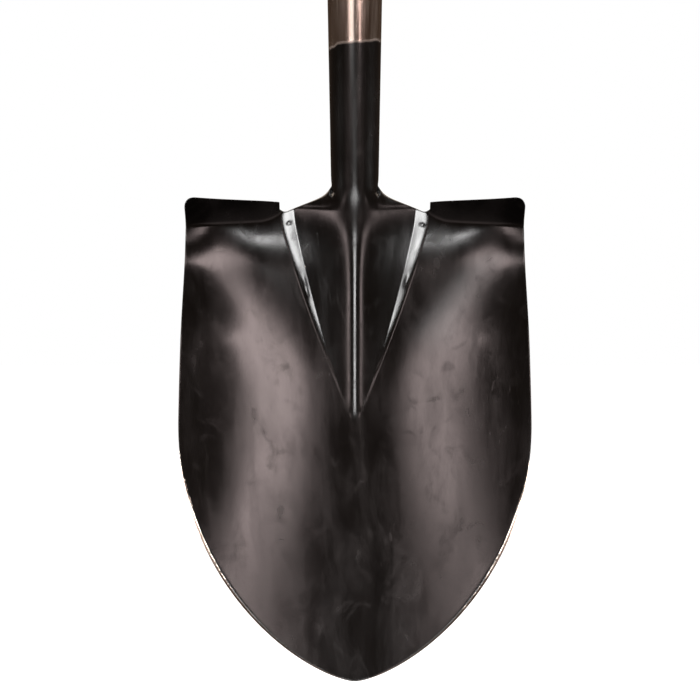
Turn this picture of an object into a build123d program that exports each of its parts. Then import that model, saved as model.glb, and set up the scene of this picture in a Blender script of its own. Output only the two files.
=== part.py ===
from build123d import *
import math
import os

# Round point shovel with a steel D grip.  Millimetres.
# Heights are measured up from the digging tip along the shaft's axis (+Z), the
# front (dirt side) of the blade faces -Y, and the left side is -X.
# On export everything is lowered by BAR_Z, so the origin is the middle of the grip bar.

# blade, pressed from one sheet with its socket
SHEET = 2.0
BLADE_HALF_W = 111.4
WIDEST_Z = 162.0
POINT_X_POWER = 1.5
POINT_Z_POWER = 2.1
FOLD_HALF_W = 108.9
FOLD_Z = 290.5
STEP_TOP_Z = 304.6
STEP_DROP = 2.2
STEP_INNER_X = 48.5
STEP_CORNER_R = 6.5
STEP_SLOPE = 1.1
FOLD_RUNOUT_X = 63.0
FOLD_RUNOUT = 16.0
FOLD_RUNOUT_RISE = 6.5
FOLD_FALL = 0.07
FOLD_SOFTNESS = 1.6

# side profile and dish of the blade plate
PLATE_TOP_Y = 11.0
LEAN_TOP = 0.158
LEAN_GAIN = 0.000377
DISH = 26.0
DISH_LOW = 16.5
DISH_RISE_Z = (20.0, 200.0)
DISH_TOP_SHARE = 0.55
DISH_EASE_Z = (208.0, 275.0)
VALLEY_LOW_X = 6.0
VALLEY_Z = 200.0
VALLEY_SPREAD = 0.72
VALLEY_SOFTNESS = 20.0
VALLEY_EDGE = 6.0
CURL_RUN = 32.0
CURL_SLOPE = 0.36

# frog: the hood that carries the socket down into the blade
FROG_LOW_Z = 163.0
FROG_HALF_W = 40.0
FROG_LOW_SHARE = 0.03
FROG_POWER = 0.76
FROG_RISE_POWER = 1.1
FROG_WALL_W = 9.5
FROG_WALL_H = 6.8
FROG_WALL_Z = 190.0
FROG_WALL_LOW_SHARE = 0.15
FROG_WALL_SOFTNESS = 0.1
FROG_WALL_POWER = 1.25
FROG_TOP_SOFTNESS = 0.08
RIDGE_PROUD = 1.0
RIDGE_SINK = 1.0
RIDGE_LEVEL_Z = 275.0
RIDGE_R_LOW = 4.5
RIDGE_R_TOP = 7.0
RIDGE_SPREAD_Z = (240.0, 290.0)
SHOULDER_Z = 296.6
SHOULDER_X = 44.0
SHOULDER_FLAT = 2.0
SHOULDER_RISE = 1.4
NECK_X = 15.0
NECK_Z = 308.1
NECK_R = 9.0
NECK_TOP_Z = 319.0
NECK_BACK_Y = 8.0
NECK_FALL = 1.07
OVERSIZE_X = 114.0
THINNEST_TURN = 2.2
KNOT_Z = 235.0

# socket, a tapered tube rolled from the same sheet with a seam down its back
SOCKET_R = 15.5
SOCKET_R_Z = 320.0
SOCKET_TAPER = 0.0198
SOCKET_TOP_Z = 560.0
SOCKET_LOW_Z = 296.0
SLANT_Y = 18.0
SLANT_TOP_Z = 344.0
SEAM_LOW_Z = 333.0
SEAM_GAP = 1.2

# shaft
FIT_GAP = 0.05
SHAFT_R = 19.0
SHAFT_LOW_Z = 352.0
SHAFT_TOP_Z = 906.0
SHAFT_DOME = 7.0
SHAFT_CHAMFER = 1.5
SHAFT_STEP_Z = (0.8, 2.6)

# rivets
SOCKET_RIVET_R = 3.0
SOCKET_RIVET_HEAD_R = 5.6
SOCKET_RIVET_Z = {"lower": 462.0, "upper": 530.0}
YOKE_RIVET_R = 2.5
YOKE_RIVET_HEAD_R = 5.0
YOKE_RIVET_Z = {"lower": 832.0, "upper": 870.0}
HEAD_HEIGHT = 2.8
HEAD_BED = 2.6
HEAD_RIM = 0.4

# D grip: pressed steel yoke, turned bar, rod riveted over two washers
YOKE_SHEET = 1.6
YOKE_SLEEVE_Z = (812.0, 892.0)
YOKE_ARM_W = 24.0
YOKE_ARM_DEPTH = 7.0
YOKE_ARM_CORNER = 2.6
ARM_SPREAD_Z = (884.0, 948.0)
BAR_Z = 985.0
CUP_FACE_X = 57.8
CUP_R = 14.0
BAR_MID_R = 15.5
BAR_END_R = 13.4
BAR_TENON_R = 12.2
BAR_SHOULDER_X = 50.4
ROD_R = 4.0
ROD_BORE_R = 4.15
WASHER_R = 8.5
WASHER_T = 1.5
ROD_HEAD_R = 6.6
ROD_HEAD = 2.6
ROD_HEAD_RIM = 0.6


def ease(a):
    """Smooth step from 0 to 1."""
    a = min(max(a, 0.0), 1.0)
    return a * a * (3.0 - 2.0 * a)


def mix(a, b, t):
    """Value t of the way from a to b."""
    return a + (b - a) * t


def rise(a, span):
    """Smooth step from 0 to 1 as a crosses span."""
    return ease((a - span[0]) / (span[1] - span[0]))


def socket_r(z):
    """Outside radius of the socket at height z."""
    return SOCKET_R + (z - SOCKET_R_Z) * SOCKET_TAPER


def soft_over(a, softness):
    """a where it is well above 0, nothing well below, rounded between."""
    return (a + math.hypot(a, softness)) / 2.0


def frog_share(z):
    """Height up the frog, from 0 at its low point to 1 at the fold."""
    share = max(z - FROG_LOW_Z, 0.0) / (FOLD_Z - FROG_LOW_Z)
    return max(1.0 - soft_over(1.0 - share, FROG_TOP_SOFTNESS), 0.0)


def crease_x(z):
    """Half width of the frog between its two creases."""
    return FROG_HALF_W * math.hypot(frog_share(z), FROG_LOW_SHARE) ** FROG_POWER


def centre_y(z):
    """Front face of the plate on its centreline: it leans forward going down."""
    d = FOLD_Z - z
    return PLATE_TOP_Y - LEAN_TOP * d - LEAN_GAIN * d * d / 2.0


def valley_x(z):
    """Half width of the level floor from which the sides of the plate turn up."""
    return VALLEY_LOW_X + VALLEY_SPREAD * soft_over(z - VALLEY_Z, VALLEY_SOFTNESS)


def dish_y(x, z):
    """How far the plate's side is brought forward."""
    valley = valley_x(z)
    out = soft_over(x - valley, VALLEY_EDGE) / (BLADE_HALF_W - valley)
    deep = mix(DISH_LOW, DISH, rise(z, DISH_RISE_Z))
    return deep * (1.0 - DISH_TOP_SHARE * rise(z, DISH_EASE_Z)) * out**2


def curl_y(z):
    """How far the top of the plate curls forward before it is folded for the steps."""
    bent = min(max(z - FOLD_Z + CURL_RUN, 0.0), CURL_RUN)
    return CURL_SLOPE * (bent * bent / (2.0 * CURL_RUN) + max(z - FOLD_Z, 0.0))


def plate_y(x, z):
    """Front face of the plate beside the frog."""
    return centre_y(z) - dish_y(x, z) - curl_y(z)


def wall_share(z):
    """Size of the steep wall beside each crease, 1 where it is full."""
    share = soft_over((z - FROG_WALL_Z) / (FOLD_Z - FROG_WALL_Z), FROG_WALL_SOFTNESS)
    return 1.0 - soft_over(1.0 - share, FROG_TOP_SOFTNESS)


def wall_w(z):
    """Width of the wall beside each crease."""
    return FROG_WALL_W * mix(FROG_WALL_LOW_SHARE, 1.0, wall_share(z))


def ridge_y(z):
    """Front face along the top of the frog's ridge, running up just under the socket's."""
    high = PLATE_TOP_Y + socket_r(FOLD_Z) + RIDGE_PROUD
    ridge = centre_y(z) - high * frog_share(z) ** FROG_RISE_POWER
    under = RIDGE_SINK - socket_r(z)
    return mix(ridge, under, rise(z, (RIDGE_LEVEL_Z, NECK_TOP_Z)))


def frog_y(x, z):
    """Front face of the frog's roof, a ridge rounding out into the socket."""
    c = crease_x(z)
    top = ridge_y(z)
    edge = plate_y(c, z) - FROG_WALL_H * wall_share(z)
    r = mix(RIDGE_R_LOW, RIDGE_R_TOP, rise(z, RIDGE_SPREAD_Z))
    slope = (edge - top) / (math.hypot(c, r) - r)
    hood = top + slope * (math.hypot(x, r) - r)
    # above the shoulders the roof rolls back round the socket
    roll = rise(z, (SHOULDER_Z, NECK_TOP_Z))
    tube = NECK_BACK_Y - (NECK_BACK_Y - top) / (1.0 + NECK_FALL * (x / top) ** 4)
    return mix(hood, tube, roll)


def step_y(x, z):
    """How far the step is turned forward; its fold runs up to nothing inboard."""
    inboard = max(FOLD_RUNOUT_X - x, 0.0) / FOLD_RUNOUT
    fall = FOLD_FALL * max(x - FOLD_RUNOUT_X, 0.0)
    fold_z = FOLD_Z + FOLD_RUNOUT_RISE * inboard**2 - fall
    return STEP_SLOPE * soft_over(z - fold_z, FOLD_SOFTNESS)


def front_y(x, z):
    """Front face of the whole pressing."""
    x = abs(x)
    c = crease_x(z)
    if x <= c:
        return frog_y(x, z) - step_y(x, z)
    down = min((x - c) / wall_w(z), 1.0)
    wall = (frog_y(c, z) - plate_y(c, z)) * (1.0 - down) ** FROG_WALL_POWER
    return plate_y(x, z) + wall - step_y(x, z)


def sheet_y(x, z):
    """Thickness of the sheet measured along Y, so that it is SHEET square to the face."""
    h = 0.4
    gx = (front_y(x + h, z) - front_y(x - h, z)) / (2.0 * h)
    gz = (front_y(x, z + h) - front_y(x, z - h)) / (2.0 * h)
    return SHEET * min(math.sqrt(1.0 + gx * gx + gz * gz), THINNEST_TURN)


def across(z):
    """Stations across the right half at height z: roof, crease wall, then plate."""
    c = crease_x(z)
    w = wall_w(z)
    start = c + w
    side = [c * i / 6.0 for i in range(1, 7)]
    side += [c + w * i / 5.0 for i in range(1, 6)]
    side += [start + (OVERSIZE_X - start) * (i / 9.0) ** 1.2 for i in range(1, 10)]
    return side


def upward():
    """Stations up the sheet, close together over the folds and the neck."""
    plate = [-5.0 + 8.0 * i for i in range(33)]
    curl = [256.0 + 5.0 * i for i in range(5)]
    fold = [280.0 + 1.5 * i for i in range(14)]
    neck = [301.0 + 2.5 * i for i in range(9)]
    return plate + curl + fold + neck


def section(z):
    """Closed section of the sheet at height z."""
    right = across(z)
    xs = [-x for x in reversed(right)] + [0.0] + right
    span = across(KNOT_Z)
    knots = [-x for x in reversed(span)] + [0.0] + span
    front = [(x, front_y(x, z), z) for x in xs]
    back = [(x, front_y(x, z) + sheet_y(x, z), z) for x in xs]
    near = Edge.make_spline(front, parameters=knots)
    far = Edge.make_spline(back[::-1], parameters=knots)
    right_rim = Edge.make_line(front[-1], back[-1])
    left_rim = Edge.make_line(back[0], front[0])
    return Wire([near, right_rim, far, left_rim])


def edge_point(turn):
    """Point on the cutting edge, from the tip (turn 0) to the widest place (turn 1)."""
    a = math.pi / 2.0 * (1.0 - turn)
    x = BLADE_HALF_W * abs(math.cos(a)) ** (2.0 / POINT_X_POWER)
    down = WIDEST_Z * math.sin(a) ** (2.0 / POINT_Z_POWER)
    return (x, WIDEST_Z - down)


def outline():
    """Right half of the blade seen from the front, closed down the middle."""
    count = 16
    rest = [edge_point(i / count) for i in range(1, count)]
    curve = Spline((0.0, 0.0), *rest, (BLADE_HALF_W, WIDEST_Z))
    top_z = STEP_TOP_Z
    flank = ThreePointArc(
        (BLADE_HALF_W, WIDEST_Z), (110.5, 230.0), (FOLD_HALF_W, FOLD_Z)
    )
    corner = FilletPolyline(
        (FOLD_HALF_W, FOLD_Z),
        (FOLD_HALF_W - 0.3, top_z),
        (STEP_INNER_X, top_z - STEP_DROP),
        radius=STEP_CORNER_R,
    )
    notch = Polyline(
        (STEP_INNER_X, top_z - STEP_DROP),
        (STEP_INNER_X, SHOULDER_Z + SHOULDER_RISE),
        (SHOULDER_X + SHOULDER_FLAT, SHOULDER_Z),
        (SHOULDER_X, SHOULDER_Z),
    )
    neck = FilletPolyline(
        (SHOULDER_X, SHOULDER_Z),
        (NECK_X + 0.2, NECK_Z),
        (NECK_X, NECK_TOP_Z),
        radius=NECK_R,
    )
    back = Polyline((NECK_X, NECK_TOP_Z), (0.0, NECK_TOP_Z), (0.0, 0.0))
    return make_face([curve, flank, corner, notch, neck, back])


def make_sheet():
    """The pressed sheet: lofted through its sections, then cut to the outline."""
    slab = Solid.make_loft([section(z) for z in upward()], ruled=True)
    half = Plane.XZ.offset(-60.0) * outline()
    cutter = extrude(half, amount=150.0)
    cutter += mirror(cutter, Plane.YZ)
    return slab & cutter


def socket_profile(inset, z0, z1):
    """Solid of revolution inside the socket's outline by inset."""
    pts = [(0, z0), (socket_r(z0) - inset, z0), (socket_r(z1) - inset, z1), (0, z1)]
    return revolve(Plane.XZ * make_face(Polyline(*pts, close=True)), Axis.Z)


def make_socket():
    """Tapered tube, its lower end cut on the slant where it opens into the frog."""
    tube = socket_profile(0.0, SOCKET_LOW_Z, SOCKET_TOP_Z)
    tube -= socket_profile(SHEET, SOCKET_LOW_Z - 1.0, SOCKET_TOP_Z + 1.0)
    below = SOCKET_LOW_Z - 30.0
    slant = Polyline(
        (-SLANT_Y, SOCKET_LOW_Z),
        (SLANT_Y, SLANT_TOP_Z),
        (2.0 * SLANT_Y, SLANT_TOP_Z),
        (2.0 * SLANT_Y, below),
        (-SLANT_Y, below),
        close=True,
    )
    tube -= extrude(Plane.YZ * make_face(slant), amount=40.0, both=True)
    seam_h = SOCKET_TOP_Z - SEAM_LOW_Z + 10.0
    seam = Box(SEAM_GAP, 30.0, seam_h, align=(Align.CENTER, Align.MIN, Align.MIN))
    return tube - Pos(0, 0, SEAM_LOW_Z) * seam


def make_blade():
    """Blade, frog and socket as the single pressing they are."""
    blade = make_sheet() + make_socket()
    for z in SOCKET_RIVET_Z.values():
        hole = Cylinder(SOCKET_RIVET_R + FIT_GAP, 80.0)
        blade -= Pos(0, 0, z) * Rot(0, 90, 0) * hole
    return blade


def make_shaft():
    """Ash shaft: tapered into the socket, shouldered at its mouth, domed at the top."""
    low_r = socket_r(SHAFT_LOW_Z) - SHEET - FIT_GAP
    mouth_r = socket_r(SOCKET_TOP_Z) - SHEET - FIT_GAP
    wood = Polyline(
        (0, SHAFT_LOW_Z),
        (low_r - SHAFT_CHAMFER, SHAFT_LOW_Z),
        (low_r + SHAFT_CHAMFER * SOCKET_TAPER, SHAFT_LOW_Z + SHAFT_CHAMFER),
        (mouth_r, SOCKET_TOP_Z),
        (mouth_r, SOCKET_TOP_Z + SHAFT_STEP_Z[0]),
        (SHAFT_R, SOCKET_TOP_Z + SHAFT_STEP_Z[1]),
        (SHAFT_R, SHAFT_TOP_Z - SHAFT_DOME),
    )
    dome = RadiusArc(
        (SHAFT_R, SHAFT_TOP_Z - SHAFT_DOME), (SHAFT_R - SHAFT_DOME, SHAFT_TOP_Z), -SHAFT_DOME
    )
    crown = Line((SHAFT_R - SHAFT_DOME, SHAFT_TOP_Z), (0, SHAFT_TOP_Z))
    axis = Line((0, SHAFT_TOP_Z), (0, SHAFT_LOW_Z))
    shaft = revolve(Plane.XZ * make_face([wood, dome, crown, axis]), Axis.Z)
    for z in SOCKET_RIVET_Z.values():
        shaft -= Pos(0, 0, z) * Rot(0, 90, 0) * Cylinder(SOCKET_RIVET_R + FIT_GAP, 80.0)
    for z in YOKE_RIVET_Z.values():
        shaft -= Pos(0, 0, z) * Rot(90, 0, 0) * Cylinder(YOKE_RIVET_R + FIT_GAP, 80.0)
    return shaft


def cap(radius, height):
    """Profile of a spherical cap standing on the origin, drawn from its rim to its crown."""
    ball = (radius * radius + height * height) / (2.0 * height)
    half = math.atan2(radius, ball - height) / 2.0
    middle = (ball * math.sin(half), ball * math.cos(half) - ball + height)
    return middle, (0.0, height)


def domed_rivet(shank_r, head_r, seat):
    """Rivet along Z with a low domed head at each end, seat from the middle."""
    under = seat - HEAD_BED
    rim = seat + HEAD_RIM
    side = Polyline((0, 0), (shank_r, 0), (shank_r, under), (head_r, under), (head_r, rim))
    middle, crown = cap(head_r, HEAD_HEIGHT)
    dome = ThreePointArc(
        (head_r, rim), (middle[0], rim + middle[1]), (0, rim + crown[1])
    )
    axis = Line((0, rim + crown[1]), (0, 0))
    half = revolve(Plane.XZ * make_face([side, dome, axis]), Axis.Z)
    return half + mirror(half, Plane.XY)


def make_socket_rivet(z):
    """Cross rivet through socket and shaft, its heads bedded on the socket."""
    blank = domed_rivet(SOCKET_RIVET_R, SOCKET_RIVET_HEAD_R, socket_r(z))
    blank = Pos(0, 0, z) * Rot(0, 90, 0) * blank
    core = socket_profile(0.0, z - 20.0, z + 20.0)
    core -= Pos(0, 0, z) * Rot(0, 90, 0) * Cylinder(SOCKET_RIVET_R, 80.0)
    return blank - core


def make_yoke_rivet(z):
    """Front to back rivet through the yoke's sleeve and the shaft."""
    sleeve_r = SHAFT_R + FIT_GAP + YOKE_SHEET
    blank = domed_rivet(YOKE_RIVET_R, YOKE_RIVET_HEAD_R, sleeve_r)
    blank = Pos(0, 0, z) * Rot(90, 0, 0) * blank
    core = Pos(0, 0, z) * Cylinder(sleeve_r, 40.0)
    core -= Pos(0, 0, z) * Rot(90, 0, 0) * Cylinder(YOKE_RIVET_R, 80.0)
    return blank - core


def make_arm():
    """One channel arm of the yoke, open inward, ending under the bar's cup."""
    web_x = CUP_FACE_X - YOKE_SHEET / 2.0
    low_x = SHAFT_R + FIT_GAP + YOKE_SHEET / 2.0
    low_z, high_z = ARM_SPREAD_Z
    foot = Line((low_x, 0, low_z - 40.0), (low_x, 0, low_z))
    swing = Spline(
        (low_x, 0, low_z), (web_x, 0, high_z), tangents=[(0, 0, 1), (0, 0, 1)]
    )
    stem = Line((web_x, 0, high_z), (web_x, 0, BAR_Z - 6.0))
    outer = RectangleRounded(
        YOKE_ARM_DEPTH * 2.0, YOKE_ARM_W, YOKE_ARM_CORNER
    ) & Pos(YOKE_ARM_DEPTH / 2.0, 0) * Rectangle(YOKE_ARM_DEPTH, YOKE_ARM_W + 2.0)
    inner = RectangleRounded(
        2.0 * (YOKE_ARM_DEPTH - YOKE_SHEET),
        YOKE_ARM_W - 2.0 * YOKE_SHEET,
        YOKE_ARM_CORNER - YOKE_SHEET + 0.4,
    )
    channel = outer - inner
    shift = YOKE_SHEET / 2.0 - YOKE_ARM_DEPTH
    start = Plane(origin=(low_x, 0, low_z - 40.0), x_dir=(1, 0, 0), z_dir=(0, 0, 1))
    return sweep(start * Pos(shift, 0) * channel, path=Wire([foot, swing, stem]))


def make_yoke():
    """Pressed steel yoke: split sleeve, two channel arms and a cup for each bar end."""
    low, high = YOKE_SLEEVE_Z
    bore_r = SHAFT_R + FIT_GAP
    base = (Align.CENTER, Align.CENTER, Align.MIN)
    yoke = Pos(0, 0, low) * Cylinder(bore_r + YOKE_SHEET, high - low, align=base)
    arm = make_arm()
    cup = Cylinder(CUP_R, YOKE_ARM_DEPTH, align=(Align.CENTER, Align.CENTER, Align.MAX))
    cup = fillet(cup.faces().sort_by(Axis.Z)[-1].edges(), YOKE_SHEET)
    cup = Pos(CUP_FACE_X, 0, BAR_Z) * Rot(0, 90, 0) * cup
    side = arm + cup
    yoke += side
    yoke += mirror(side, Plane.YZ)
    room = Cylinder(BAR_TENON_R + 0.2, 2.0 * (CUP_FACE_X - YOKE_SHEET))
    yoke -= Pos(0, 0, BAR_Z) * Rot(0, 90, 0) * room
    rod_hole = Cylinder(ROD_R + FIT_GAP, 140.0)
    yoke -= Pos(0, 0, BAR_Z) * Rot(0, 90, 0) * rod_hole
    yoke -= Pos(0, 0, low - 1.0) * Cylinder(bore_r, SHAFT_TOP_Z + 1.0 - low, align=base)
    for z in YOKE_RIVET_Z.values():
        yoke -= Pos(0, 0, z) * Rot(90, 0, 0) * Cylinder(YOKE_RIVET_R + FIT_GAP, 80.0)
    seam = Box(SEAM_GAP, 30.0, high - low + 2.0, align=(Align.CENTER, Align.MIN, Align.MIN))
    return yoke - Pos(0, 0, low - 1.0) * seam


def make_bar():
    """Turned ash bar: barrel shaped, stepped at each end to seat in the cups."""
    face_x = CUP_FACE_X - YOKE_SHEET - FIT_GAP
    low = Polyline(
        (-face_x, ROD_BORE_R),
        (-face_x, BAR_TENON_R),
        (-BAR_SHOULDER_X, BAR_TENON_R),
        (-BAR_SHOULDER_X, BAR_END_R),
    )
    barrel = ThreePointArc(
        (-BAR_SHOULDER_X, BAR_END_R), (0, BAR_MID_R), (BAR_SHOULDER_X, BAR_END_R)
    )
    high = Polyline(
        (BAR_SHOULDER_X, BAR_END_R),
        (BAR_SHOULDER_X, BAR_TENON_R),
        (face_x, BAR_TENON_R),
        (face_x, ROD_BORE_R),
        (-face_x, ROD_BORE_R),
    )
    return Pos(0, 0, BAR_Z) * revolve(Plane.XZ * make_face([low, barrel, high]), Axis.X)


def make_rod():
    """Steel rod through the bar, headed over a washer at each end."""
    seat = CUP_FACE_X + WASHER_T
    rim = seat + ROD_HEAD_RIM
    side = Polyline((0, 0), (0, ROD_R), (seat, ROD_R), (seat, ROD_HEAD_R), (rim, ROD_HEAD_R))
    middle, crown = cap(ROD_HEAD_R, ROD_HEAD)
    end = rim + crown[1]
    dome = ThreePointArc((rim, ROD_HEAD_R), (rim + middle[1], middle[0]), (end, 0))
    half = revolve(Plane.XZ * make_face([side, dome, Line((end, 0), (0, 0))]), Axis.X)
    return Pos(0, 0, BAR_Z) * (half + mirror(half, Plane.YZ))


def make_washer(side):
    """Plain washer between the cup's face and the rod's head."""
    ring = Cylinder(WASHER_R, WASHER_T) - Cylinder(ROD_R + FIT_GAP, WASHER_T)
    middle = side * (CUP_FACE_X + WASHER_T / 2.0)
    return Pos(middle, 0, BAR_Z) * Rot(0, 90, 0) * ring


def build():
    """Every separate piece of the shovel, by name."""
    return {
        "blade_with_socket": make_blade(),
        "shaft": make_shaft(),
        "socket_rivet_lower": make_socket_rivet(SOCKET_RIVET_Z["lower"]),
        "socket_rivet_upper": make_socket_rivet(SOCKET_RIVET_Z["upper"]),
        "yoke": make_yoke(),
        "yoke_rivet_lower": make_yoke_rivet(YOKE_RIVET_Z["lower"]),
        "yoke_rivet_upper": make_yoke_rivet(YOKE_RIVET_Z["upper"]),
        "grip_bar": make_bar(),
        "grip_rod": make_rod(),
        "grip_washer_left": make_washer(-1.0),
        "grip_washer_right": make_washer(1.0),
    }


os.makedirs("parts", exist_ok=True)
for name, piece in build().items():
    export_step(Pos(0, 0, -BAR_Z) * piece, f"parts/{name}.step")
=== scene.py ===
import math

import bpy
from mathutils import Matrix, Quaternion, Vector


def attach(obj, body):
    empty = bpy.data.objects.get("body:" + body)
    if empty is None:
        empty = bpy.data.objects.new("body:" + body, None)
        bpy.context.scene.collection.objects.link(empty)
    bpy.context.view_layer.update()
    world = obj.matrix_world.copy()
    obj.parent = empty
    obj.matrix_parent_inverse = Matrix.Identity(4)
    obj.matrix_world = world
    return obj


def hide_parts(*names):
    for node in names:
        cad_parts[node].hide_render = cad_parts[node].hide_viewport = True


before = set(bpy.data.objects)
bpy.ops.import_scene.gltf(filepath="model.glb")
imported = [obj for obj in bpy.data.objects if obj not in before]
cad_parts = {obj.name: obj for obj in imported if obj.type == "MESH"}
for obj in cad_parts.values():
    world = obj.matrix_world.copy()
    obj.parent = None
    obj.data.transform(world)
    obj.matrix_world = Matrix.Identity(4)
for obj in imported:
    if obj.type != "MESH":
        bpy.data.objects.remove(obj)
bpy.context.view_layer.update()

# The blade's sheet is drawn in millimetres, with heights measured up from the digging
# tip as in the CAD source, and is moved into the row frame, in metres, by place().
MM = 0.001
TIP_TO_GRIP = 985.0

SHEET = 2.0
BLADE_HALF_W = 111.4
WIDEST_Z = 162.0
POINT_X_POWER = 1.5
POINT_Z_POWER = 2.1
FOLD_HALF_W = 108.9
FOLD_Z = 290.5
STEP_TOP_Z = 304.6
STEP_DROP = 2.2
STEP_INNER_X = 48.5
STEP_CORNER_R = 6.5
STEP_SLOPE = 1.1
FOLD_RUNOUT_X = 63.0
FOLD_RUNOUT = 16.0
FOLD_RUNOUT_RISE = 6.5
FOLD_FALL = 0.07
FOLD_SOFTNESS = 1.6
PLATE_TOP_Y = 11.0
LEAN_TOP = 0.158
LEAN_GAIN = 0.000377
DISH = 26.0
DISH_LOW = 16.5
DISH_RISE_Z = (20.0, 200.0)
DISH_TOP_SHARE = 0.55
DISH_EASE_Z = (208.0, 275.0)
VALLEY_LOW_X = 6.0
VALLEY_Z = 200.0
VALLEY_SPREAD = 0.72
VALLEY_SOFTNESS = 20.0
VALLEY_EDGE = 6.0
CURL_RUN = 32.0
CURL_SLOPE = 0.36
FROG_LOW_Z = 163.0
FROG_HALF_W = 40.0
FROG_LOW_SHARE = 0.03
FROG_POWER = 0.76
FROG_RISE_POWER = 1.1
FROG_WALL_W = 9.5
FROG_WALL_H = 6.8
FROG_WALL_Z = 190.0
FROG_WALL_LOW_SHARE = 0.15
FROG_WALL_SOFTNESS = 0.1
FROG_TOP_SOFTNESS = 0.08
FROG_WALL_POWER = 1.25
RIDGE_PROUD = 1.0
RIDGE_LEVEL_Z = 275.0
RIDGE_R_LOW = 4.5
RIDGE_R_TOP = 7.0
RIDGE_SPREAD_Z = (240.0, 290.0)
SHOULDER_Z = 296.6
SHOULDER_X = 44.0
SHOULDER_FLAT = 2.0
SHOULDER_RISE = 1.4
NECK_Z = 307.7
NECK_TOP_Z = 319.0
NECK_BACK_Y = 8.0
NECK_FALL = 1.07
SOCKET_R = 15.5
SOCKET_R_Z = 320.0
SOCKET_TAPER = 0.0198
SOCKET_TOP_Z = 560.0
TUBE_Z = 313.0
TUBE_BLEND_Z = 304.0
TUBE_OPEN_Z = 344.0
SEAM_HALF = 0.45
THINNEST_TURN = 2.2
SLOPE_STEP = 0.4
EDGE_BEVEL = 1.15
EDGE_BEVEL_TOP_Z = 128.0
EDGE_BEVEL_RUN = 36.0
STEP_END_LEAN = 0.2
NECK_ROUND_Z = 300.0

# x, height, radius and depth of each knock
DENTS = (
    (-32.6, 250.0, 2.2, 0.7),
    (-31.0, 243.5, 1.6, 0.5),
    (33.6, 251.0, 2.4, 0.8),
    (-42.5, 289.0, 2.0, 0.6),
    (43.5, 288.0, 2.0, 0.6),
)


def ease(a):
    """Smooth step from 0 to 1."""
    a = min(max(a, 0.0), 1.0)
    return a * a * (3.0 - 2.0 * a)


def mix(a, b, t):
    """Value t of the way from a to b."""
    return a + (b - a) * t


def rise(a, span):
    """Smooth step from 0 to 1 as a crosses span."""
    return ease((a - span[0]) / (span[1] - span[0]))


def soft_over(a, softness):
    """a where it is well above 0, nothing well below, rounded between."""
    return (a + math.hypot(a, softness)) / 2.0


def place(p):
    """A point in millimetres above the tip, as a point in the row frame."""
    return (p[0] * MM, p[1] * MM, (p[2] - TIP_TO_GRIP) * MM)


def socket_r(z):
    """Outside radius of the socket at height z."""
    return SOCKET_R + (z - SOCKET_R_Z) * SOCKET_TAPER


def frog_share(z):
    """Height up the frog, from 0 at its low point to 1 at the fold."""
    share = max(z - FROG_LOW_Z, 0.0) / (FOLD_Z - FROG_LOW_Z)
    return max(1.0 - soft_over(1.0 - share, FROG_TOP_SOFTNESS), 0.0)


def crease_x(z):
    """Half width of the frog between its two creases."""
    return FROG_HALF_W * math.hypot(frog_share(z), FROG_LOW_SHARE) ** FROG_POWER


def centre_y(z):
    """Front face of the plate on its centreline: it leans forward going down."""
    d = FOLD_Z - z
    return PLATE_TOP_Y - LEAN_TOP * d - LEAN_GAIN * d * d / 2.0


def dish_y(x, z):
    """How far the plate's side is brought forward."""
    valley = VALLEY_LOW_X + VALLEY_SPREAD * soft_over(z - VALLEY_Z, VALLEY_SOFTNESS)
    out = soft_over(x - valley, VALLEY_EDGE) / (BLADE_HALF_W - valley)
    deep = mix(DISH_LOW, DISH, rise(z, DISH_RISE_Z))
    return deep * (1.0 - DISH_TOP_SHARE * rise(z, DISH_EASE_Z)) * out**2


def curl_y(z):
    """How far the top of the plate curls forward before it is folded for the steps."""
    bent = min(max(z - FOLD_Z + CURL_RUN, 0.0), CURL_RUN)
    return CURL_SLOPE * (bent * bent / (2.0 * CURL_RUN) + max(z - FOLD_Z, 0.0))


def plate_y(x, z):
    """Front face of the plate beside the frog."""
    return centre_y(z) - dish_y(x, z) - curl_y(z)


def wall_share(z):
    """Size of the steep wall beside each crease, 1 where it is full."""
    share = soft_over((z - FROG_WALL_Z) / (FOLD_Z - FROG_WALL_Z), FROG_WALL_SOFTNESS)
    return 1.0 - soft_over(1.0 - share, FROG_TOP_SOFTNESS)


def wall_w(z):
    """Width of the wall beside each crease."""
    return FROG_WALL_W * mix(FROG_WALL_LOW_SHARE, 1.0, wall_share(z))


def ridge_y(z):
    """Front face along the top of the frog's ridge, running up into the socket's."""
    high = PLATE_TOP_Y + socket_r(FOLD_Z) + RIDGE_PROUD
    ridge = centre_y(z) - high * frog_share(z) ** FROG_RISE_POWER
    return mix(ridge, -socket_r(z), rise(z, (RIDGE_LEVEL_Z, TUBE_Z)))


def frog_y(x, z):
    """Front face of the frog's roof, a ridge rounding out into the socket."""
    c = crease_x(z)
    top = ridge_y(z)
    edge = plate_y(c, z) - FROG_WALL_H * wall_share(z)
    low, high = RIDGE_SPREAD_Z
    r = mix(RIDGE_R_LOW, RIDGE_R_TOP, ease((z - low) / (high - low)))
    slope = (edge - top) / (math.hypot(c, r) - r)
    hood = top + slope * (math.hypot(x, r) - r)
    roll = ease((z - SHOULDER_Z) / (NECK_TOP_Z - SHOULDER_Z))
    tube = NECK_BACK_Y - (NECK_BACK_Y - top) / (1.0 + NECK_FALL * (x / top) ** 4)
    y = mix(hood, tube, roll)
    if abs(x) < abs(top):
        round_y = -math.sqrt(top * top - x * x)
        y = mix(y, round_y, ease((z - TUBE_BLEND_Z) / (TUBE_Z - TUBE_BLEND_Z)))
    return y


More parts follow.
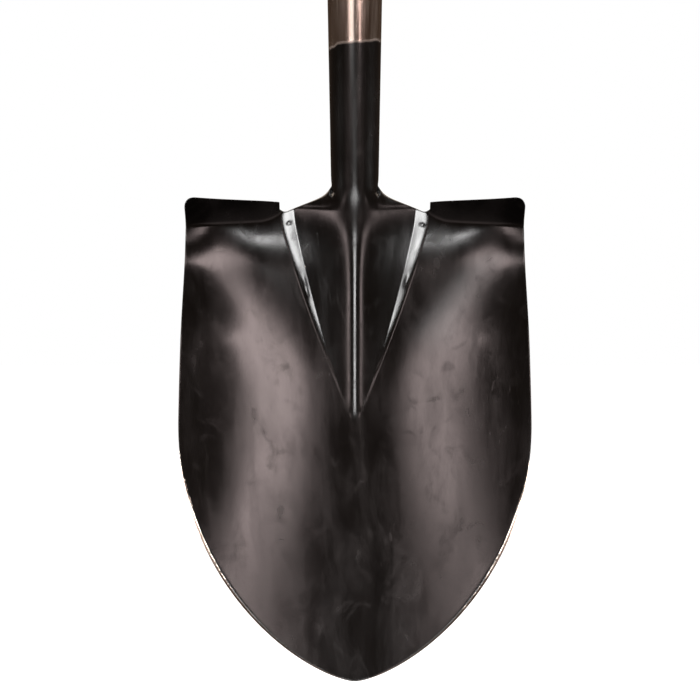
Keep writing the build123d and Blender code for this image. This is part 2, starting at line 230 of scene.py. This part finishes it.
def step_y(x, z):
    """How far the step is turned forward; its fold runs up to nothing inboard."""
    inboard = max(FOLD_RUNOUT_X - x, 0.0) / FOLD_RUNOUT
    fall = FOLD_FALL * max(x - FOLD_RUNOUT_X, 0.0)
    fold_z = FOLD_Z + FOLD_RUNOUT_RISE * inboard**2 - fall
    return STEP_SLOPE * soft_over(z - fold_z, FOLD_SOFTNESS)


def dents_y(x, z):
    """Shallow knocks in the raised edges of the frog, from use."""
    push = 0.0
    for at_x, at_z, wide, deep in DENTS:
        away = math.hypot(x - at_x, z - at_z) / wide
        if away < 1.0:
            push += deep * (1.0 - away * away) ** 2
    return push


def front_y(x, z):
    """Front face of the whole pressing."""
    x = abs(x)
    c = crease_x(z)
    if x <= c:
        return frog_y(x, z) - step_y(x, z)
    down = min((x - c) / wall_w(z), 1.0)
    wall = (frog_y(c, z) - plate_y(c, z)) * (1.0 - down) ** FROG_WALL_POWER
    return plate_y(x, z) + wall - step_y(x, z)


def half_width(z):
    """Half width of the blade seen from the front."""
    if z >= WIDEST_Z:
        t = (z - WIDEST_Z) / (FOLD_Z - WIDEST_Z)
        return BLADE_HALF_W - (BLADE_HALF_W - FOLD_HALF_W) * min(t, 1.0) ** 1.5
    down = (WIDEST_Z - z) / WIDEST_Z
    return BLADE_HALF_W * (1.0 - down**POINT_Z_POWER) ** (1.0 / POINT_X_POWER)


# Columns of the sheet's mesh, from the middle out: roof of the frog, crease wall, plate.
# Those of the roof's middle run on up into the socket.
NECK_TURN = math.radians(80.0)
NECK_X = socket_r(TUBE_Z) * math.sin(NECK_TURN)
NECK_EASE_X = 2.4
NECK_COLUMNS = 16
NECK_CROWDING = 1.15
OUTER_ROOF = 18
RIM_W = 1.7
RIM_MIDDLE = 0.45
PLATE_COLUMNS = 30
PLATE_CROWDING = 1.08

neck_turns = [NECK_TURN * (i / NECK_COLUMNS) ** NECK_CROWDING for i in range(NECK_COLUMNS + 1)]
wall_end = crease_x(FOLD_Z) + wall_w(FOLD_Z)
NECK_SHARE = NECK_X / crease_x(FOLD_Z)
NOTCH_SHARE = (STEP_INNER_X - wall_end) / (FOLD_HALF_W - RIM_W - wall_end)
roof = [socket_r(TUBE_Z) * math.sin(a) / crease_x(FOLD_Z) for a in neck_turns]
roof += [
    mix(NECK_SHARE, 1.0, 0.5 * (t + math.sin(math.pi * (t - 0.5)) / 2.0 + 0.5))
    for t in (i / OUTER_ROOF for i in range(1, OUTER_ROOF + 1))
]
wall = [0.05, 0.12, 0.22, 0.33, 0.45, 0.57, 0.68, 0.79, 0.9, 1.0]
plate = [
    mix(NOTCH_SHARE, 1.0, (i / PLATE_COLUMNS) ** PLATE_CROWDING)
    for i in range(PLATE_COLUMNS + 1)
]
CREASE = len(roof) - 1
NOTCH = len(roof) + len(wall)
COLUMNS = NOTCH + len(plate) + 2

# Rows of the mesh, from the tip up: plate, fold and neck, then steps, and the socket.
LOWEST_Z = 0.12
PLATE_TOP_Z = 281.0
LOW_ROWS = 104
LOW_CROWDING = 1.4
FOLD_ROWS = 20
STEP_ROWS = 12
OPEN_ROWS = 26
EVEN_AFTER_ROWS = 12
TUBE_ROWS = 40
LAST = LOW_ROWS + FOLD_ROWS
TUBE_ROW = LAST + 1000

WORN_Z = (170.0, 300.0)
CREASE_WEAR = 0.5
FAR_FROM_RIM = 60.0


def column_x(k, z, half):
    """x of column k at height z, where the sheet is half wide."""
    c = min(crease_x(z), 0.45 * half)
    w = min(wall_w(z), 0.2 * half)
    if k < len(roof):
        return c * roof[k]
    k -= len(roof)
    if k < len(wall):
        return c + w * wall[k]
    k -= len(wall)
    rim = min(RIM_W, 0.06 * half)
    if k < len(plate):
        return mix(c + w, half - rim, plate[k])
    return half - rim * (RIM_MIDDLE if k == len(plate) else 0.0)


def shoulder_z(x):
    """Top edge of the sheet between the step's inner end and the neck."""
    flat_x = SHOULDER_X + SHOULDER_FLAT
    if x >= STEP_INNER_X - 0.01:
        return SHOULDER_Z + SHOULDER_RISE
    if x >= flat_x:
        return SHOULDER_Z + SHOULDER_RISE * (x - flat_x) / (STEP_INNER_X - flat_x)
    if x >= SHOULDER_X:
        return SHOULDER_Z
    if x <= NECK_X:
        return TUBE_Z
    line = mix(SHOULDER_Z, NECK_Z, (SHOULDER_X - x) / (SHOULDER_X - NECK_X))
    return mix(line, TUBE_Z, math.exp(-(x - NECK_X) / NECK_EASE_X))


def edge_bevel(x, z):
    """How far the cutting edge is worn back on its front side."""
    out = max(0.0, 1.0 - (half_width(z) - x) / RIM_W)
    return EDGE_BEVEL * ease((EDGE_BEVEL_TOP_Z - z) / EDGE_BEVEL_RUN) * out


def low_points():
    """Front points from the tip to the foot of the fold, as {(row, column): point}."""
    front = {}
    for r in range(LOW_ROWS + 1):
        z = LOWEST_Z + (PLATE_TOP_Z - LOWEST_Z) * (r / LOW_ROWS) ** LOW_CROWDING
        for k in range(COLUMNS):
            x = column_x(k, z, half_width(z))
            front[(r, k)] = (x, front_y(x, z) + edge_bevel(x, z), z)
    return front


def fold_points():
    """Front points over the fold, the shoulders and the neck."""
    front = {}
    for i in range(1, FOLD_ROWS + 1):
        for k in range(COLUMNS):
            top = shoulder_z(column_x(k, FOLD_Z, half_width(FOLD_Z)))
            z = mix(PLATE_TOP_Z, top, i / FOLD_ROWS)
            x = column_x(k, min(z, FOLD_Z), half_width(z))
            front[(LOW_ROWS + i, k)] = (x, front_y(x, z), z)
    return front


def step_points():
    """Front points of the step, with the round of its outer corner."""
    front = {}
    low = SHOULDER_Z + SHOULDER_RISE
    wide = FOLD_HALF_W - STEP_INNER_X
    for i in range(1, STEP_ROWS + 1):
        t = i / STEP_ROWS
        in_corner = max(mix(low, STEP_TOP_Z, t) - (STEP_TOP_Z - STEP_CORNER_R), 0.0)
        cut = STEP_CORNER_R - math.sqrt(max(STEP_CORNER_R**2 - in_corner**2, 0.0))
        for k in range(NOTCH, COLUMNS):
            share = (column_x(k, FOLD_Z, FOLD_HALF_W) - STEP_INNER_X) / wide
            x = mix(STEP_INNER_X, FOLD_HALF_W - STEP_END_LEAN * t - cut, share)
            top = STEP_TOP_Z - STEP_DROP * (FOLD_HALF_W - x) / wide
            z = mix(low, top, t)
            front[(LAST + i, k)] = (x, front_y(x, z), z)
    return front


def thickness_y(x, z):
    """Thickness of the sheet measured along Y, so that it is SHEET square to the face."""
    h = SLOPE_STEP
    gx = (front_y(x + h, z) - front_y(x - h, z)) / (2.0 * h)
    gz = (front_y(x, z + h) - front_y(x, z - h)) / (2.0 * h)
    return SHEET * min(math.sqrt(1.0 + gx * gx + gz * gz), THINNEST_TURN)


def back_point(key, front):
    """Point on the back of the sheet behind a front point."""
    r, k = key
    x, y, z = front
    back_y = y + thickness_y(x, z)
    if r <= LOW_ROWS:
        back_y -= edge_bevel(x, z)
    back = (x, back_y, z)
    if k > NECK_COLUMNS or z <= NECK_ROUND_Z:
        return back
    radius = math.hypot(x, y)
    shrink = (radius - SHEET) / radius
    inside = (x * shrink, y * shrink, z)
    t = ease((z - NECK_ROUND_Z) / (TUBE_Z - NECK_ROUND_Z))
    return tuple(mix(a, b, t) for a, b in zip(back, inside))


def tube_turn(z):
    """Half the angle that the sheet wraps round the shaft at height z."""
    closed = math.pi - SEAM_HALF / socket_r(z)
    if z >= TUBE_OPEN_Z:
        return closed
    low = -math.cos(NECK_TURN)
    high = -math.cos(math.pi - SEAM_HALF / socket_r(TUBE_OPEN_Z))
    return math.acos(-mix(low, high, (z - TUBE_Z) / (TUBE_OPEN_Z - TUBE_Z)))


def tube_heights():
    """Heights of the socket's rows: crowded where it closes, then even to its mouth."""
    opening = []
    for i in range(1, OPEN_ROWS + 1):
        opening.append(mix(TUBE_Z, TUBE_OPEN_Z, math.sin(math.pi / 2.0 * i / OPEN_ROWS)))
    closed = [mix(TUBE_OPEN_Z, SOCKET_TOP_Z, i / TUBE_ROWS) for i in range(1, TUBE_ROWS + 1)]
    return opening + closed


def tube_points():
    """Outer and inner points of the socket, spread evenly round it once it has closed."""
    points = {}
    for i, z in enumerate(tube_heights()):
        for k in range(NECK_COLUMNS + 1):
            even = ease(i / EVEN_AFTER_ROWS)
            a = tube_turn(z) * mix(neck_turns[k] / NECK_TURN, k / NECK_COLUMNS, even)
            points[(TUBE_ROW + i, k)] = tuple(
                (r * math.sin(a), -r * math.cos(a), z)
                for r in (socket_r(z), socket_r(z) - SHEET)
            )
    return points


def mesh_cells(points):
    """Corners of every four sided cell of the right half."""
    cells = []
    for r in sorted({row for row, _ in points}):
        for k in range(COLUMNS - 1):
            up = TUBE_ROW if r == LAST and k < NECK_COLUMNS else r + 1
            corners = [(r, k), (r, k + 1), (up, k + 1), (up, k)]
            if all(c in points for c in corners):
                cells.append(corners)
    return cells


class Half:
    """Vertices and faces of the sheet, added for one side and then for the other."""

    def __init__(self, points):
        self.points = points
        self.verts = []
        self.index = {}
        self.faces = []
        self.border = {}

    def vert(self, key, side, layer):
        """Number of a vertex: side 1 is the right, layer 0 the front."""
        if key[1] == 0:
            side = 1
        name = (*key, side, layer)
        if name not in self.index:
            x, y, z = self.points[key][layer]
            self.index[name] = len(self.verts)
            self.verts.append(place((side * x, y + dents_y(side * x, z), z)))
        return self.index[name]

    def add(self, corners, side):
        """Front and back face of one cell, keeping the edges that no other cell shares."""
        ring = [self.vert(c, side, 0) for c in corners]
        back = [self.vert(c, side, 1) for c in corners]
        if side < 0:
            ring.reverse()
            back.reverse()
        self.faces += [ring, back[::-1]]
        for a, b, c, d in zip(ring, ring[1:] + ring[:1], back, back[1:] + back[:1]):
            key = frozenset((a, b))
            if key in self.border:
                del self.border[key]
            else:
                self.border[key] = [b, a, c, d]


def mark_wear(mesh, sheet):
    """Distance in from the rim, and how worn each place is, for the enamel to read."""
    rim = mesh.attributes.new("rim", "FLOAT", "POINT")
    wear = mesh.attributes.new("wear", "FLOAT", "POINT")
    low, high = WORN_Z
    for (r, k, side, layer), n in sheet.index.items():
        x, y, z = sheet.points[(r, k)][0]
        on_blade = r <= LAST + STEP_ROWS
        rim.data[n].value = half_width(min(z, FOLD_Z)) - x if on_blade else FAR_FROM_RIM
        on_crease = layer == 0 and low < z < high and abs(k - CREASE) <= 1
        wear.data[n].value = CREASE_WEAR if on_crease else 0.0


def build_sheet():
    """The whole pressing as one closed sheet of mesh."""
    front = {**low_points(), **fold_points(), **step_points()}
    points = {key: (p, back_point(key, p)) for key, p in front.items()}
    points.update(tube_points())
    sheet = Half(points)
    for side in (1, -1):
        for corners in mesh_cells(points):
            sheet.add(corners, side)
    mesh = bpy.data.meshes.new("blade_sheet")
    mesh.from_pydata(sheet.verts, [], sheet.faces + list(sheet.border.values()))
    mesh.validate()
    mark_wear(mesh, sheet)
    piece = bpy.data.objects.new("blade_sheet", mesh)
    bpy.context.scene.collection.objects.link(piece)
    for poly in mesh.polygons:
        poly.use_smooth = True
    smooth = piece.modifiers.new("smooth", "SUBSURF")
    smooth.levels = smooth.render_levels = 1
    return piece


# ---------------------------------------------------------------- materials

# heights, in metres in the row frame, where the enamel has worn through or stops
BARE_EDGE_Z = (-0.835, -0.885)
PAINT_LINE_Z = (-0.5825, -0.5795)


def new_material(name):
    """An empty material with one shader: the material, its node tree, the shader."""
    mat = bpy.data.materials.new(name)
    mat.use_nodes = True
    tree = mat.node_tree
    tree.nodes.clear()
    out = tree.nodes.new("ShaderNodeOutputMaterial")
    shader = tree.nodes.new("ShaderNodeBsdfPrincipled")
    tree.links.new(shader.outputs["BSDF"], out.inputs["Surface"])
    return mat, tree, shader


class Nodes:
    """Short names for the few node kinds the materials are made of."""

    def __init__(self, tree):
        self.tree = tree

    def link(self, a, b):
        self.tree.links.new(a, b)

    def put(self, socket, value):
        if isinstance(value, (int, float, tuple, list)):
            socket.default_value = value
        else:
            self.link(value, socket)

    def coords(self, scale=(1.0, 1.0, 1.0), offset=(0.0, 0.0, 0.0)):
        coord = self.tree.nodes.new("ShaderNodeTexCoord")
        mapping = self.tree.nodes.new("ShaderNodeMapping")
        mapping.inputs["Scale"].default_value = scale
        mapping.inputs["Location"].default_value = offset
        self.link(coord.outputs["Object"], mapping.inputs["Vector"])
        return mapping.outputs["Vector"]

    def split(self, vector):
        node = self.tree.nodes.new("ShaderNodeSeparateXYZ")
        self.link(vector, node.inputs["Vector"])
        return node.outputs

    def noise(self, vector, scale, detail=4.0, rough=0.55, distort=0.0):
        node = self.tree.nodes.new("ShaderNodeTexNoise")
        self.link(vector, node.inputs["Vector"])
        node.inputs["Scale"].default_value = scale
        node.inputs["Detail"].default_value = detail
        node.inputs["Roughness"].default_value = rough
        node.inputs["Distortion"].default_value = distort
        return node.outputs["Fac"]

    def math(self, op, a, b=0.0, c=0.0, clamp=False):
        node = self.tree.nodes.new("ShaderNodeMath")
        node.operation = op
        node.use_clamp = clamp
        for socket, value in zip(node.inputs, (a, b, c)):
            self.put(socket, value)
        return node.outputs["Value"]

    def ramp(self, value, low, high, to_low=0.0, to_high=1.0, smooth=True):
        node = self.tree.nodes.new("ShaderNodeMapRange")
        node.interpolation_type = "SMOOTHSTEP" if smooth else "LINEAR"
        self.put(node.inputs["Value"], value)
        self.put(node.inputs["From Min"], low)
        self.put(node.inputs["From Max"], high)
        node.inputs["To Min"].default_value = to_low
        node.inputs["To Max"].default_value = to_high
        return node.outputs["Result"]

    def blend(self, fac, a, b, mode="MIX"):
        node = self.tree.nodes.new("ShaderNodeMix")
        node.data_type = "RGBA"
        node.blend_type = mode
        self.put(node.inputs["Factor"], fac)
        colours = [s for s in node.inputs if s.type == "RGBA"]
        for socket, value in zip(colours, (a, b)):
            self.put(socket, (*value, 1.0) if isinstance(value, tuple) else value)
        return [s for s in node.outputs if s.type == "RGBA"][0]

    def mixf(self, fac, a, b):
        node = self.tree.nodes.new("ShaderNodeMix")
        node.data_type = "FLOAT"
        self.put(node.inputs["Factor"], fac)
        numbers = [s for s in node.inputs if s.type == "VALUE"][1:3]
        for socket, value in zip(numbers, (a, b)):
            self.put(socket, value)
        return [s for s in node.outputs if s.type == "VALUE"][0]

    def attribute(self, name):
        node = self.tree.nodes.new("ShaderNodeAttribute")
        node.attribute_name = name
        return node.outputs["Fac"]

    def bump(self, height, strength, distance, normal=None):
        node = self.tree.nodes.new("ShaderNodeBump")
        node.inputs["Strength"].default_value = strength
        node.inputs["Distance"].default_value = distance
        self.put(node.inputs["Height"], height)
        if normal is not None:
            self.link(normal, node.inputs["Normal"])
        return node.outputs["Normal"]


def bare_steel(n):
    """1 where steel shows: the ground edge, the top of the socket, chips on the creases."""
    xyz = n.split(n.coords())
    ragged = n.noise(n.coords((1.0, 1.0, 1.0), (0.2, 0.0, 0.0)), 230.0, 4.0, 0.7)
    rim_width = n.ramp(xyz["Z"], *BARE_EDGE_Z, -0.08, 1.8)
    uneven = n.math("MULTIPLY", n.math("SUBTRACT", ragged, 0.5), 2.2)
    rim_line = n.math("ADD", rim_width, uneven)
    rim_bare = n.ramp(n.math("SUBTRACT", rim_line, n.attribute("rim")), -0.12, 0.12)
    dip = n.noise(n.coords((1.0, 1.0, 0.2)), 60.0, 4.0, 0.6)
    wave = n.math("MULTIPLY", n.math("SUBTRACT", dip, 0.5), 0.006)
    dip_line = n.math("ADD", wave, n.math("MULTIPLY", xyz["X"], 0.16))
    socket_bare = n.ramp(n.math("SUBTRACT", xyz["Z"], dip_line), *PAINT_LINE_Z)
    chip_noise = n.noise(n.coords(), 150.0, 5.0, 0.75)
    chips = n.ramp(n.math("ADD", n.attribute("wear"), chip_noise), 1.16, 1.2)
    return n.math("MAXIMUM", n.math("MAXIMUM", rim_bare, socket_bare), chips, clamp=True)


def scuffs(n):
    """Short fine scratches up and down the blade, in patches."""
    places = n.noise(n.coords((1.0, 1.0, 1.0), (0.7, 0.3, 0.5)), 14.0, 3.0, 0.5)
    lines = n.noise(n.coords((1.0, 1.0, 0.06), (0.1, 0.8, 0.3)), 700.0, 2.0, 0.5)
    return n.math("MULTIPLY", n.ramp(lines, 0.66, 0.72), n.ramp(places, 0.52, 0.64))


def blade_material():
    """Gloss black enamel on steel, dusty from use, worn through at the digging edge."""
    mat, tree, shader = new_material("black_enamel_on_steel")
    n = Nodes(tree)
    fine = n.noise(n.coords(), 900.0, 3.0, 0.6)
    broad = n.noise(n.coords((1.0, 1.0, 0.7)), 9.0, 4.0, 0.6)
    film = n.noise(n.coords((1.0, 1.0, 0.4), (0.3, 0.1, 0.7)), 20.0, 6.0, 0.62, 0.6)
    blot = n.noise(n.coords((1.0, 1.0, 0.8), (0.9, 0.2, 0.4)), 75.0, 3.0, 0.5, 1.2)
    wipe = n.noise(n.coords((1.0, 1.0, 0.12), (0.6, 0.4, 0.2)), 55.0, 5.0, 0.65, 0.4)
    dull = n.noise(n.coords((1.0, 1.0, 0.5), (0.5, 0.6, 0.9)), 38.0, 5.0, 0.7, 0.8)
    bare = bare_steel(n)
    scuff = scuffs(n)
    mark = n.math("MAXIMUM", n.ramp(blot, 0.53, 0.76), n.math("MULTIPLY", scuff, 0.8))

    paint = n.blend(broad, (0.0009, 0.0008, 0.0008), (0.0016, 0.0014, 0.0013))
    dust = n.math("ADD", n.ramp(film, 0.45, 0.8, 0.0, 0.02), n.math("MULTIPLY", mark, 0.022))
    dust = n.math("ADD", dust, n.ramp(wipe, 0.5, 0.75, 0.0, 0.016))
    paint = n.blend(dust, paint, (0.1, 0.086, 0.082))
    grain = n.noise(n.coords((1.0, 1.0, 0.05)), 300.0, 5.0, 0.7)
    steel = n.blend(grain, (0.2, 0.13, 0.085), (0.8, 0.72, 0.66))
    n.link(n.blend(bare, paint, steel), shader.inputs["Base Color"])
    n.link(bare, shader.inputs["Metallic"])

    gloss = n.ramp(film, 0.3, 0.8, 0.13, 0.22)
    gloss = n.math("ADD", gloss, n.ramp(wipe, 0.35, 0.7, 0.0, 0.075))
    gloss = n.math("ADD", gloss, n.math("MULTIPLY", mark, 0.065))
    steel_gloss = n.ramp(grain, 0.3, 0.7, 0.14, 0.26)
    n.link(n.mixf(bare, gloss, steel_gloss), shader.inputs["Roughness"])
    dull = n.math("ADD", n.ramp(dull, 0.42, 0.68), n.math("MULTIPLY", mark, 0.6))
    n.link(n.ramp(dull, 0.0, 1.5, 0.54, 0.4), shader.inputs["Specular IOR Level"])
    shader.inputs["IOR"].default_value = 1.5

    height = n.math("ADD", n.math("MULTIPLY", fine, 0.2), broad)
    height = n.math("SUBTRACT", height, n.math("MULTIPLY", scuff, 0.15))
    height = n.math("SUBTRACT", height, n.math("MULTIPLY", bare, 0.6))
    n.link(n.bump(height, 0.3, 0.0003), shader.inputs["Normal"])
    return mat


def steel_material():
    """Plain cold headed steel, for the rivets, the rod and its washers."""
    mat, tree, shader = new_material("plain_steel")
    n = Nodes(tree)
    speck = n.noise(n.coords(), 320.0, 5.0, 0.7)
    shade = n.noise(n.coords(), 60.0, 3.0, 0.6)
    tone = n.blend(shade, (0.36, 0.34, 0.32), (0.6, 0.58, 0.55))
    n.link(tone, shader.inputs["Base Color"])
    shader.inputs["Metallic"].default_value = 1.0
    n.link(n.ramp(speck, 0.3, 0.7, 0.26, 0.46), shader.inputs["Roughness"])
    n.link(n.bump(speck, 0.3, 0.0002), shader.inputs["Normal"])
    return mat


def yoke_material():
    """Black enamel with a light orange peel."""
    mat, tree, shader = new_material("black_enamel")
    n = Nodes(tree)
    broad = n.noise(n.coords(), 30.0, 4.0, 0.6)
    fine = n.noise(n.coords(), 900.0, 3.0, 0.6)
    tone = n.blend(broad, (0.0105, 0.0098, 0.0098), (0.022, 0.020, 0.0195))
    n.link(tone, shader.inputs["Base Color"])
    n.link(n.ramp(broad, 0.3, 0.8, 0.22, 0.38), shader.inputs["Roughness"])
    peel = n.math("ADD", fine, n.math("MULTIPLY", broad, 2.0))
    n.link(n.bump(peel, 0.35, 0.0003), shader.inputs["Normal"])
    return mat


def wood_material(name, along):
    """Lacquered ash; along is the axis the grain runs on."""
    mat, tree, shader = new_material(name)
    n = Nodes(tree)
    stretch = {"Z": (1.0, 1.0, 0.05), "X": (0.05, 1.0, 1.0)}[along]
    pore_stretch = tuple(s * (0.35 if s < 1.0 else 1.0) for s in stretch)
    drift = n.noise(n.coords(stretch, (0.2, 0.4, 0.1)), 26.0, 3.0, 0.5, 0.4)
    rings = n.math("FRACT", n.math("MULTIPLY", drift, 9.0))
    late = n.ramp(rings, 0.55, 0.95)
    pores = n.noise(n.coords(pore_stretch), 900.0, 4.0, 0.7)
    pore = n.ramp(pores, 0.56, 0.7)
    wide = n.noise(n.coords(stretch), 12.0, 2.0, 0.5)
    tone = n.blend(late, (0.46, 0.29, 0.15), (0.3, 0.17, 0.075))
    tone = n.blend(n.math("MULTIPLY", pore, 0.5), tone, (0.17, 0.085, 0.035))
    tone = n.blend(n.math("MULTIPLY", wide, 0.35), tone, (0.52, 0.35, 0.2))
    n.link(tone, shader.inputs["Base Color"])
    n.link(n.ramp(pores, 0.3, 0.7, 0.3, 0.48), shader.inputs["Roughness"])
    relief = n.math("SUBTRACT", n.math("MULTIPLY", late, 0.3), pore)
    n.link(n.bump(relief, 0.25, 0.0002), shader.inputs["Normal"])
    shader.inputs["Coat Weight"].default_value = 0.35
    shader.inputs["Coat Roughness"].default_value = 0.2
    return mat


def give(node, mat):
    """Put a material on a CAD node."""
    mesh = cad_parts[node].data
    mesh.materials.clear()
    mesh.materials.append(mat)


# ---------------------------------------------------------------- object

blade = build_sheet()
blade.data.materials.append(blade_material())
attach(blade, "root")
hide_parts("blade_with_socket")

STEEL_PIECES = (
    "socket_rivet_lower",
    "socket_rivet_upper",
    "yoke_rivet_lower",
    "yoke_rivet_upper",
    "grip_rod",
    "grip_washer_left",
    "grip_washer_right",
)
steel = steel_material()
for piece_name in STEEL_PIECES:
    give(piece_name, steel)
give("yoke", yoke_material())
give("shaft", wood_material("ash_shaft", "Z"))
give("grip_bar", wood_material("ash_bar", "X"))


# ---------------------------------------------------------------- studio

BLADE_MIDDLE = (0.0, -0.01, -0.785)
SOCKET_TOP = (0.0, 0.0, -0.49)
WHITE = (1.0, 1.0, 1.0)
WARM = (1.0, 0.82, 0.80)
BROWN = (1.0, 0.84, 0.7)
FLOOR_HALF = 30.0
FLOOR_GAP = 0.004


def soft_box(
    name, azimuth, elevation, distance, spread, radiance,
    aim=BLADE_MIDDLE, roll=0.0, colour=WHITE,
):
    """A soft box as seen from aim: azimuth 0 is the camera's side, growing to the right.

    spread is its half width and half height in degrees, radiance its brightness, and
    roll tips its top sideways, in degrees, towards growing azimuth.
    """
    a, e = math.radians(azimuth), math.radians(elevation)
    way = (math.sin(a) * math.cos(e), -math.cos(a) * math.cos(e), math.sin(e))
    wide, high = (2.0 * distance * math.tan(math.radians(s)) for s in spread)
    data = bpy.data.lights.new(name, "AREA")
    data.shape = "RECTANGLE"
    data.size, data.size_y = wide, high
    data.energy = radiance * math.pi * wide * high
    data.color = colour
    lamp = bpy.data.objects.new(name, data)
    lamp.location = [p + distance * w for p, w in zip(aim, way)]
    lamp.rotation_mode = "QUATERNION"
    turn = Quaternion(Vector(way), math.radians(-roll))
    lamp.rotation_quaternion = turn @ Vector(way).to_track_quat("Z", "Y")
    lamp.visible_camera = False
    bpy.context.scene.collection.objects.link(lamp)
    return lamp


def make_floor():
    """Plain pale floor just under the tip, so bright that it has no horizon."""
    mesh = bpy.data.meshes.new("floor")
    half, low = FLOOR_HALF, -TIP_TO_GRIP * MM - FLOOR_GAP
    corners = [(-half, -half, low), (half, -half, low), (half, half, low), (-half, half, low)]
    mesh.from_pydata(corners, [], [(0, 1, 2, 3)])
    floor = bpy.data.objects.new("floor", mesh)
    bpy.context.scene.collection.objects.link(floor)
    mat = bpy.data.materials.new("pale_floor")
    mat.use_nodes = True
    tree = mat.node_tree
    tree.nodes.clear()
    out = tree.nodes.new("ShaderNodeOutputMaterial")
    both = tree.nodes.new("ShaderNodeAddShader")
    soft = tree.nodes.new("ShaderNodeBsdfDiffuse")
    soft.inputs["Color"].default_value = (0.5, 0.5, 0.5, 1.0)
    glow = tree.nodes.new("ShaderNodeEmission")
    glow.inputs["Color"].default_value = (1.0, 1.0, 1.0, 1.0)
    glow.inputs["Strength"].default_value = 1.0
    tree.links.new(soft.outputs[0], both.inputs[0])
    tree.links.new(glow.outputs[0], both.inputs[1])
    tree.links.new(both.outputs[0], out.inputs["Surface"])
    mesh.materials.append(mat)
    floor.visible_glossy = False
    floor.visible_diffuse = False
    return floor


def make_world():
    """White where the camera sees past the object, a dim warm room in its reflections."""
    world = bpy.data.worlds.new("studio")
    bpy.context.scene.world = world
    world.use_nodes = True
    tree = world.node_tree
    tree.nodes.clear()
    out = tree.nodes.new("ShaderNodeOutputWorld")
    seen = tree.nodes.new("ShaderNodeBackground")
    seen.inputs["Color"].default_value = (1.0, 1.0, 1.0, 1.0)
    seen.inputs["Strength"].default_value = 1.0
    room = tree.nodes.new("ShaderNodeBackground")
    room.inputs["Color"].default_value = (0.15, 0.102, 0.075, 1.0)
    room.inputs["Strength"].default_value = 0.5
    path = tree.nodes.new("ShaderNodeLightPath")
    pick = tree.nodes.new("ShaderNodeMixShader")
    tree.links.new(path.outputs["Is Camera Ray"], pick.inputs["Fac"])
    tree.links.new(room.outputs[0], pick.inputs[1])
    tree.links.new(seen.outputs[0], pick.inputs[2])
    tree.links.new(pick.outputs[0], out.inputs["Surface"])


make_floor()
make_world()
soft_box("front_right", 24.0, 27.0, 2.0, (7.8, 13.0), 8.2, roll=36.0, colour=WARM)
soft_box("front_left", -24.5, 27.0, 2.0, (7.8, 13.0), 6.2, roll=-36.0, colour=WARM)
soft_box("side_left", -80.0, -13.0, 0.9, (13.0, 12.0), 24.0)
soft_box("side_right", 80.0, -13.0, 0.9, (13.0, 12.0), 24.0)
soft_box("corner_left", -37.5, -9.0, 1.6, (3.6, 11.0), 6.0, colour=WARM)
soft_box("corner_right", 37.5, -9.0, 1.6, (3.6, 11.0), 4.4, colour=WARM)
soft_box("ridge", -0.5, -1.0, 1.4, (8.0, 1.9), 26.0)
soft_box("socket_front", -12.0, 0.0, 0.35, (7.0, 14.0), 2.0, SOCKET_TOP)
soft_box("overhead", 10.0, 74.0, 1.6, (18.0, 12.0), 3.0)
soft_box("bounce", 0.0, -75.0, 1.2, (25.0, 25.0), 0.5, colour=WARM)
soft_box("behind_left", -140.0, 46.0, 2.2, (24.0, 20.0), 3.0, colour=BROWN)
soft_box("behind_right", 145.0, 46.0, 2.2, (24.0, 20.0), 2.4, colour=BROWN)

FRAME_MM = 443.0
LENS = 120.0
SENSOR = 36.0
CAMERA_X = -3.1
CAMERA_Y = -30.0
CAMERA_HEIGHT = 207.0
camera_data = bpy.data.cameras.new("camera")
camera_data.lens = LENS
camera_data.sensor_width = SENSOR
camera = bpy.data.objects.new("camera", camera_data)
reach = FRAME_MM * MM * LENS / SENSOR
camera.location = (
    CAMERA_X * MM,
    CAMERA_Y * MM - reach,
    (CAMERA_HEIGHT - TIP_TO_GRIP) * MM,
)
camera.rotation_euler = (math.radians(90.0), 0.0, 0.0)
bpy.context.scene.collection.objects.link(camera)
bpy.context.scene.camera = camera
bpy.context.scene.view_settings.view_transform = "Standard"
